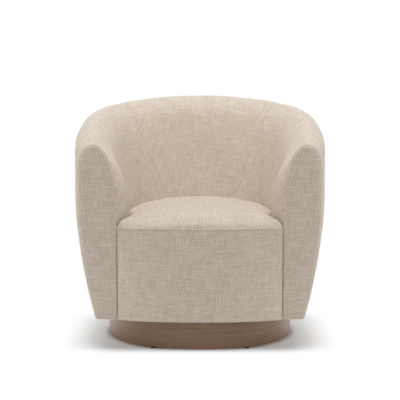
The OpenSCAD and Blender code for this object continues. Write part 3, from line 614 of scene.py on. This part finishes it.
def hoop():
    """The plinth's wooden hoop, its seam at the back."""
    low, high = HOOP_Z + HOOP_EDGE, HOOP_TOP - HOOP_EDGE
    outer, inner = HOOP_R - HOOP_EDGE, HOOP_R - HOOP_T + HOOP_EDGE
    profile = []
    for r, z, start in ((outer, low, -90), (outer, high, 0), (inner, high, 90), (inner, low, 180)):
        for turn in (0, 22.5, 45, 67.5, 90):
            a = math.radians(start + turn)
            profile.append((r + HOOP_EDGE * math.cos(a), z + HOOP_EDGE * math.sin(a)))
    down = running_length(np.array(profile), 0)
    verts, uvs, faces = [], [], []
    n = len(profile)
    for i in range(HOOP_SIDES):
        a = 2 * math.pi * i / HOOP_SIDES + math.pi / 2
        verts += [(r * math.cos(a), r * math.sin(a), z) for r, z in profile]
        uvs += [(HOOP_R * 2 * math.pi * i / HOOP_SIDES, v) for v in down]
        k = (i + 1) % HOOP_SIDES
        faces += [(i * n + j, i * n + (j + 1) % n, k * n + (j + 1) % n, k * n + j) for j in range(n)]
    return new_mesh("plinth_hoop", verts, faces, uvs, round_length=2 * math.pi * HOOP_R)


plinth_hoop = hoop()


def let_swell(item, held, reach, voxel, pressure=4.0, frames=20):
    """Lets a cover's padding push it out, as a cloth under pressure that is held at some of its points.

    The simulation runs on an evenly meshed copy. Its movement, kept under reach, is then carried back
    to the piece, whose own mesh has the seams.
    """
    scene = bpy.context.scene
    copy = bpy.data.objects.new(item.name + "_copy", item.data.copy())
    scene.collection.objects.link(copy)
    even = copy.modifiers.new("even", "REMESH")
    even.mode = "VOXEL"
    even.voxel_size = voxel
    mesh = bpy.data.meshes.new_from_object(copy.evaluated_get(bpy.context.evaluated_depsgraph_get()))
    bpy.data.objects.remove(copy)
    body = bpy.data.objects.new(item.name + "_cloth", mesh)
    scene.collection.objects.link(body)

    own = KDTree(len(item.data.vertices))
    for vertex in item.data.vertices:
        own.insert(vertex.co, vertex.index)
    own.balance()
    group = body.vertex_groups.new(name="held")
    group.add([v.index for v in mesh.vertices if held[own.find(v.co)[1]]], 1.0, "REPLACE")

    cloth_settings = body.modifiers.new("cloth", "CLOTH").settings
    cloth_settings.quality = 5
    cloth_settings.mass = 0.4
    cloth_settings.tension_stiffness = 12
    cloth_settings.compression_stiffness = 12
    cloth_settings.shear_stiffness = 5
    cloth_settings.bending_stiffness = 0.6
    cloth_settings.vertex_group_mass = "held"
    cloth_settings.use_pressure = True
    cloth_settings.uniform_pressure_force = pressure
    cloth_settings.effector_weights.gravity = 0
    for frame_number in range(1, frames + 1):
        scene.frame_set(frame_number)
    done = body.evaluated_get(bpy.context.evaluated_depsgraph_get()).data
    start = np.array([v.co for v in mesh.vertices])
    moved = np.array([v.co for v in done.vertices]) - start
    size = np.linalg.norm(moved, axis=1)
    moved *= (reach * np.tanh(size / reach) / np.maximum(size, 1e-9))[:, None]

    near = KDTree(len(start))
    for index, point in enumerate(start):
        near.insert(point, index)
    near.balance()
    for vertex in item.data.vertices:
        if held[vertex.index]:
            continue
        found = near.find_n(vertex.co, 5)
        weights = np.array([1 / (distance + 0.001) ** 2 for _, _, distance in found])
        step = (moved[[index for _, index, _ in found]] * weights[:, None]).sum(axis=0) / weights.sum()
        vertex.co += Vector(step)
    bpy.data.objects.remove(body)
    scene.frame_set(1)


for cover, held, reach, voxel in (
        (seat_cover, seat_held, 0.003, 0.007),
        (apron_cover, apron_held, 0.0030, 0.006),
        (back_cover, back_held, 0.0026, 0.008),
        (arm_right, arm_held, 0.0026, 0.007)):
    let_swell(cover, held, reach, voxel)

arm_left = mirrored(arm_right, "arm_cover_left")


class Material:
    """A node material under construction."""

    def __init__(self, name):
        self.material = bpy.data.materials.new(name)
        self.material.use_nodes = True
        self.tree = self.material.node_tree
        self.shader = self.tree.nodes["Principled BSDF"]

    def node(self, kind, inputs=(), **settings):
        made = self.tree.nodes.new("ShaderNode" + kind)
        for key, value in settings.items():
            setattr(made, key, value)
        for key, value in dict(inputs).items():
            self.feed(made.inputs[key], value)
        return made

    def feed(self, socket, value):
        if isinstance(value, bpy.types.NodeSocket):
            self.tree.links.new(value, socket)
        else:
            socket.default_value = value

    def math(self, operation, a, b=0.5, c=0.5, clamp=False):
        made = self.node("Math", operation=operation, use_clamp=clamp)
        for socket, value in zip(made.inputs, (a, b, c)):
            self.feed(socket, value)
        return made.outputs[0]

    def vector(self, x, y, z=0.0):
        return self.node("CombineXYZ", {"X": x, "Y": y, "Z": z}).outputs[0]

    def split(self, vector):
        return self.node("SeparateXYZ", {0: vector}).outputs

    def noise(self, vector, scale, detail=2.0, roughness=0.5, distortion=0.0):
        inputs = {"Vector": vector, "Scale": scale, "Detail": detail, "Roughness": roughness,
                  "Distortion": distortion}
        return self.node("TexNoise", inputs).outputs["Fac"]

    def ramp(self, value, stops):
        made = self.node("ValToRGB", {"Fac": value})
        elements = made.color_ramp.elements
        while len(elements) < len(stops):
            elements.new(0.5)
        for element, (at, colour) in zip(elements, stops):
            element.position = at
            element.color = (*colour, 1) if len(colour) == 3 else colour
        return made.outputs["Color"]

    def choose(self, share, a, b):
        """a where share is 0, b where it is 1."""
        made = self.node("Mix", {"Factor": share, 2: a, 3: b}, data_type="FLOAT")
        return made.outputs[0]

    def times(self, a, b):
        """Two colours multiplied."""
        made = self.node("Mix", {"Factor": 1.0, 6: a, 7: b}, data_type="RGBA", blend_type="MULTIPLY")
        return made.outputs[2]

    def grey(self, value):
        return self.node("CombineColor", {0: value, 1: value, 2: value}).outputs[0]

    def mapped(self, value, low, high):
        return self.node("MapRange", {"Value": value, "To Min": low, "To Max": high}).outputs[0]

    def set(self, **values):
        """Values of the shader's own sockets, by their names with underscores."""
        for key, value in values.items():
            self.feed(self.shader.inputs[key.replace("_", " ")], value)

    def bump(self, height, strength, distance):
        made = self.node("Bump", {"Height": height, "Strength": strength, "Distance": distance})
        self.feed(self.shader.inputs["Normal"], made.outputs[0])

    def uv(self):
        return self.node("UVMap", uv_map="cloth").outputs[0]

    def object_place(self):
        return self.node("TexCoord").outputs["Object"]


def linear(*srgb):
    """Linear colour from sRGB values of 0 to 255."""
    return tuple((c / 255 / 12.92) if c <= 10.31 else ((c / 255 + 0.055) / 1.055) ** 2.4 for c in srgb)


def cloth_material():
    """Beige cloth woven from thick heathered yarns, over and under."""
    m = Material("beige_weave")
    x, y, _ = m.split(m.uv())
    warp_at = m.math("DIVIDE", x, WARP_PITCH)
    weft_at = m.math("DIVIDE", y, WEFT_PITCH)
    warp_id, weft_id = m.math("FLOOR", warp_at), m.math("FLOOR", weft_at)
    hump_x = m.math("SINE", m.math("MULTIPLY", m.math("FRACT", warp_at), math.pi))
    hump_y = m.math("SINE", m.math("MULTIPLY", m.math("FRACT", weft_at), math.pi))
    over = m.math("MODULO", m.math("ABSOLUTE", m.math("ADD", warp_id, weft_id)), 2.0)
    warp_h = m.math("MULTIPLY", hump_x, m.math("MULTIPLY_ADD", hump_y, 0.55, 0.45))
    weft_h = m.math("MULTIPLY", hump_y, m.math("MULTIPLY_ADD", hump_x, 0.55, 0.45))
    relief = m.choose(over, warp_h, weft_h)
    # each yarn has its own slubs, drawn out along it
    warp_place = m.vector(m.math("MULTIPLY", warp_id, 7.31), m.math("MULTIPLY", y, 24.0))
    weft_place = m.vector(m.math("MULTIPLY", x, 24.0), m.math("MULTIPLY", weft_id, 7.31), 9.0)
    warp_slub = m.noise(warp_place, 1.0, 1.5, 0.6)
    weft_slub = m.noise(weft_place, 1.0, 1.5, 0.6)
    slub = m.choose(over, warp_slub, weft_slub)
    fibre = m.noise(m.uv(), 1900.0, 2.0, 0.6)
    patch = m.noise(m.uv(), 24.0, 2.0, 0.5)
    colour = m.ramp(slub, ((0.26, linear(195, 180, 162)), (0.44, linear(206, 191, 174)),
                           (0.58, linear(214, 201, 186)), (0.76, linear(226, 214, 202))))
    # The colour is lighter on the yarns' humps and darker in the dips between them. This is painted shade of
    # the weave's relief, which the bump also shows. The other factors, warp against weft, fibres and
    # patches, are the yarns' own tone.
    tone_and_painted_shade = m.math("MULTIPLY_ADD", relief, 0.22, 0.860)
    tone_and_painted_shade = m.math("MULTIPLY", tone_and_painted_shade, m.math("MULTIPLY_ADD", over, 0.21, 0.895))
    tone_and_painted_shade = m.math("MULTIPLY", tone_and_painted_shade, m.math("MULTIPLY_ADD", fibre, 0.18, 0.91))
    tone_and_painted_shade = m.math("MULTIPLY", tone_and_painted_shade, m.math("MULTIPLY_ADD", patch, 0.04, 0.98))
    colour = m.times(colour, m.grey(tone_and_painted_shade))
    m.set(Base_Color=colour, Roughness=0.94, Specular_IOR_Level=0.2, Sheen_Weight=0.22, Sheen_Roughness=0.45)
    height = m.math("ADD", relief, m.math("MULTIPLY", fibre, 0.3))
    height = m.math("ADD", height, m.math("MULTIPLY", slub, 0.4))
    m.bump(height, 0.45, 0.0006)
    return m.material


def stained_wood():
    """Brown stained veneer, its grain running round the hoop."""
    m = Material("stained_wood")
    x, y, _ = m.split(m.uv())
    bend = m.noise(m.vector(m.math("MULTIPLY", x, 3.0), m.math("MULTIPLY", y, 18.0)), 1.0, 3.0, 0.55)
    grain_at = m.vector(m.math("MULTIPLY", x, 5.0),
                        m.math("ADD", m.math("MULTIPLY", y, 230.0), m.math("MULTIPLY", bend, 8.0)))
    grain = m.noise(grain_at, 1.0, 5.0, 0.62)
    pores = m.noise(m.vector(m.math("MULTIPLY", x, 60.0), m.math("MULTIPLY", y, 1500.0)), 1.0, 2.0, 0.6)
    colour = m.ramp(grain, ((0.28, linear(124, 91, 63)), (0.47, linear(141, 106, 76)),
                            (0.62, linear(150, 114, 84)), (0.78, linear(164, 128, 97))))
    dark = m.ramp(pores, ((0.30, (0.72, 0.72, 0.72)), (0.50, (1.0, 1.0, 1.0))))
    colour = m.times(colour, dark)
    m.set(Base_Color=colour, Roughness=m.mapped(grain, 0.36, 0.50), Specular_IOR_Level=0.45, Coat_Weight=0.5,
          Coat_Roughness=0.22)
    m.bump(m.math("ADD", pores, m.math("MULTIPLY", grain, 0.5)), 0.22, 0.00025)
    return m.material


def raw_wood(name, dark, light, across, along, layers=0.0):
    """Raw timber or board. across and along are the grain's scales, layers the pitch of its plies."""
    m = Material(name)
    x, y, z = m.split(m.object_place())
    wander = m.noise(m.object_place(), 9.0, 2.0)
    grain = m.noise(m.vector(m.math("MULTIPLY", x, along), m.math("MULTIPLY", y, across),
                             m.math("ADD", m.math("MULTIPLY", z, across), m.math("MULTIPLY", wander, 5.0))),
                    1.0, 4.0, 0.6)
    colour = m.ramp(grain, ((0.30, dark), (0.70, light)))
    if layers:
        ply = m.math("MODULO", m.math("FLOOR", m.math("DIVIDE", z, layers)), 2.0)
        band = m.math("MULTIPLY_ADD", ply, -0.22, 1.0)
        colour = m.times(colour, m.grey(band))
    m.set(Base_Color=colour, Roughness=m.mapped(grain, 0.62, 0.82), Specular_IOR_Level=0.3)
    m.bump(grain, 0.3, 0.0004)
    return m.material


def metal(name, colour, rough, brushed, spots=0.1):
    """Bare or plated steel with fine marks and a slightly uneven finish."""
    m = Material(name)
    x, y, z = m.split(m.object_place())
    marks = m.noise(m.vector(m.math("MULTIPLY", x, brushed), m.math("MULTIPLY", y, 260.0),
                             m.math("MULTIPLY", z, 900.0)), 1.0, 3.0, 0.6)
    cloud = m.noise(m.object_place(), 60.0, 3.0, 0.6)
    tone = m.ramp(cloud, ((0.3, tuple(c * (1 - spots) for c in colour)), (0.7, colour)))
    m.set(Base_Color=tone, Metallic=1.0, Roughness=m.mapped(marks, rough - 0.08, rough + 0.12))
    m.bump(marks, 0.12, 0.0002)
    return m.material


def moulded(name, colour, rough):
    """Moulded plastic with a fine skin."""
    m = Material(name)
    skin = m.noise(m.object_place(), 900.0, 3.0, 0.6)
    cloud = m.noise(m.object_place(), 40.0, 2.0)
    m.set(Base_Color=m.ramp(cloud, ((0.3, tuple(c * 0.88 for c in colour)), (0.7, colour))),
          Roughness=m.mapped(skin, rough - 0.06, rough + 0.10), Specular_IOR_Level=0.4)
    m.bump(skin, 0.2, 0.0002)
    return m.material


def matted(name, dark, light, size, depth):
    """Felt or spun cloth: matted fibres with no weave."""
    m = Material(name)
    fibres = m.noise(m.object_place(), size, 6.0, 0.7, 1.2)
    cloud = m.noise(m.object_place(), size / 12, 2.0)
    tone = m.math("MULTIPLY_ADD", cloud, 0.4, m.math("MULTIPLY", fibres, 0.6))
    m.set(Base_Color=m.ramp(tone, ((0.35, dark), (0.65, light))), Roughness=0.97, Specular_IOR_Level=0.15,
          Sheen_Weight=0.1, Sheen_Roughness=0.5)
    m.bump(fibres, 0.6, depth)
    return m.material


cloth = cloth_material()
finishes = {
    "cover_fabric": cloth,
    "plinth_wood": stained_wood(),
    "plywood": raw_wood("birch_plywood", linear(186, 152, 108), linear(219, 190, 148), 160.0, 9.0, 0.0015),
    "hardwood": raw_wood("planed_hardwood", linear(160, 122, 82), linear(199, 163, 118), 190.0, 8.0),
    "hardboard": raw_wood("pressed_board", linear(98, 70, 48), linear(128, 96, 68), 420.0, 420.0),
    "zinc_steel": metal("zinc_steel", (0.60, 0.61, 0.63), 0.34, 300.0, 0.16),
    "dark_steel": metal("oiled_steel", (0.17, 0.17, 0.18), 0.38, 500.0),
    "spring_steel": metal("lacquered_wire", (0.05, 0.05, 0.055), 0.42, 700.0),
    "nylon": moulded("natural_nylon", linear(222, 219, 208), 0.45),
    "black_plastic": moulded("black_plastic", (0.012, 0.012, 0.013), 0.42),
    "felt": matted("grey_felt", linear(96, 95, 93), linear(146, 145, 142), 700.0, 0.0012),
    "dust_cloth": matted("spun_cloth", linear(26, 26, 27), linear(52, 52, 54), 420.0, 0.0004),
}

slot_of = {part["node"]: part["material_slot"] for part in frame["record"]["subparts"]}
for node, item in frame["nodes"].items():
    item.data.materials.clear()
    item.data.materials.append(finishes[slot_of[node]])

pieces = [
    (back_cover, "seat", ("back_pad",), "cover_fabric", 0.9),
    (arm_left, "seat", ("arm_pad_left",), "cover_fabric", 0.9),
    (arm_right, "seat", ("arm_pad_right",), "cover_fabric", 0.9),
    (panel_left, "seat", ("arm_front_pad_left",), "cover_fabric", 0.85),
    (panel_right, "seat", ("arm_front_pad_right",), "cover_fabric", 0.85),
    (apron_cover, "seat", ("apron_pad",), "cover_fabric", 0.85),
    (seat_cover, "seat", ("seat_pad",), "cover_fabric", 0.8),
    (plinth_hoop, "base", ("plinth_ring",), "plinth_wood", None),
]
for item, body, nodes, slot, fill in pieces:
    item.data.materials.append(finishes[slot])
    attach(item, body)
    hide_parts(*nodes)


# Half sizes of the oval in which the floor shows its shadow, where it fades to white, and how much
# lighter it is shown than it is lit, from a little outside the plinth
OVAL_X = 0.40
OVAL_Y = 0.30
OVAL_POWER = 6.0
FADE_START = 0.84
FADE_END = 1.16
FLOOR_LIFT = 0.17
LIFT_START = 0.004
LIFT_FULL = 0.020
FLOOR_HALF = 8.0


def floor_material():
    """White floor. Camera, glossy and transmission rays see it fade to plain white away from the shadow."""
    m = Material("floor")
    shape = m.node("NewGeometry").outputs
    x, y, _ = m.split(shape["Position"])
    m.set(Base_Color=(0.92, 0.93, 0.94, 1), Roughness=0.9, Specular_IOR_Level=0.0)

    def power(value, size):
        return m.math("POWER", m.math("DIVIDE", m.math("ABSOLUTE", value), size), OVAL_POWER)

    oval = m.math("POWER", m.math("ADD", power(x, OVAL_X), power(y, OVAL_Y)), 1 / OVAL_POWER)
    fade = m.node("MapRange", {"Value": oval, "From Min": FADE_START, "From Max": FADE_END},
                  interpolation_type="SMOOTHSTEP").outputs[0]
    radius = m.math("SQRT", m.math("ADD", m.math("POWER", x, 2.0), m.math("POWER", y, 2.0)))
    clear = m.node("MapRange", {"Value": radius, "From Min": HOOP_R + LIFT_START,
                                "From Max": HOOP_R + LIFT_FULL, "To Max": FLOOR_LIFT}).outputs[0]
    path = m.node("LightPath").outputs
    seen = m.math("MAXIMUM", path["Is Camera Ray"],
                  m.math("MAXIMUM", path["Is Glossy Ray"], path["Is Transmission Ray"]))
    lift = m.node("Emission", {"Color": (1, 1, 1, 1), "Strength": clear})
    both = m.node("AddShader", {0: m.shader.outputs[0], 1: lift.outputs[0]})
    white = m.node("Emission", {"Color": (1, 1, 1, 1), "Strength": 1.0})
    faded = m.node("MixShader", {0: fade, 1: both.outputs[0], 2: white.outputs[0]})
    lit = m.node("MixShader", {0: seen, 1: m.shader.outputs[0], 2: faded.outputs[0]})
    # from below the floor lets the underside show
    final = m.node("MixShader", {0: shape["Backfacing"], 1: lit.outputs[0],
                                 2: m.node("BsdfTransparent").outputs[0]})
    m.tree.links.new(final.outputs[0], m.tree.nodes["Material Output"].inputs["Surface"])
    return m.material


def floor():
    """The floor, which is part of the stage."""
    mesh = bpy.data.meshes.new("floor")
    corners = [(x * FLOOR_HALF, y * FLOOR_HALF, 0) for x, y in ((-1, -1), (1, -1), (1, 1), (-1, 1))]
    mesh.from_pydata(corners, [], [(0, 1, 2, 3)])
    item = bpy.data.objects.new("floor", mesh)
    item.data.materials.append(floor_material())
    bpy.context.scene.collection.objects.link(item)


def lamp(name, place_at, target, size, power, size_y=None, colour=(1, 1, 1)):
    """An area light aimed at a point."""
    data = bpy.data.lights.new(name, "AREA")
    data.shape = "RECTANGLE"
    data.size = size
    data.size_y = size_y or size
    data.energy = power
    data.color = colour
    item = bpy.data.objects.new(name, data)
    item.location = place_at
    item.rotation_euler = (Vector(target) - Vector(place_at)).to_track_quat("-Z", "Y").to_euler()
    bpy.context.scene.collection.objects.link(item)
    return item


floor()
lamp("top_light", (0, -0.36, 2.9), (0, 0, 0.35), 2.4, 63, colour=(0.92, 0.955, 1.0))
lamp("front_fill", (0, -4.0, 0.8), (0, 0, 0.4), 2.6, 8, 1.4, colour=(1.0, 0.97, 0.94))
# lets the inside of the plinth be seen from below
lamp("plinth_light", (0, 0, 0.002), (0, 0, 1), 0.34, 0.3)
for side in (-1, 1):
    lamp("side_light", (side * 2.4, -0.5, 0.9), (0, 0, 0.45), 1.1, 15, 1.7, colour=(1.0, 0.985, 0.97))

# The world lights softly, and is plain white where it is seen
world = bpy.data.worlds.new("studio")
world.use_nodes = True
tree = world.node_tree
back_node = tree.nodes["Background"]
back_node.inputs["Color"].default_value = (1.0, 0.975, 0.945, 1)
back_node.inputs["Strength"].default_value = 0.28
seen_node = tree.nodes.new("ShaderNodeBackground")
seen_node.inputs["Color"].default_value = (1, 1, 1, 1)
seen_node.inputs["Strength"].default_value = 1.0
path_node = tree.nodes.new("ShaderNodeLightPath")
seen_by = path_node.outputs["Is Camera Ray"]
for kind in ("Is Glossy Ray", "Is Transmission Ray"):
    either = tree.nodes.new("ShaderNodeMath")
    either.operation = "MAXIMUM"
    tree.links.new(seen_by, either.inputs[0])
    tree.links.new(path_node.outputs[kind], either.inputs[1])
    seen_by = either.outputs[0]
mixed = tree.nodes.new("ShaderNodeMixShader")
tree.links.new(seen_by, mixed.inputs[0])
tree.links.new(back_node.outputs[0], mixed.inputs[1])
tree.links.new(seen_node.outputs[0], mixed.inputs[2])
tree.links.new(mixed.outputs[0], tree.nodes["World Output"].inputs["Surface"])
bpy.context.scene.world = world

bpy.context.scene.view_settings.view_transform = "Standard"

# The camera looks along +Y and a little down
CAMERA_LENS = 101.5
CAMERA_DOWN = 5.806
camera_data = bpy.data.cameras.new("camera")
camera_data.sensor_width = 36
camera_data.lens = CAMERA_LENS
camera = bpy.data.objects.new("camera", camera_data)
camera.location = (0, -3.762, 0.826)
camera.rotation_euler = Euler((math.radians(90 - CAMERA_DOWN), 0, 0))
bpy.context.scene.collection.objects.link(camera)
bpy.context.scene.camera = camera
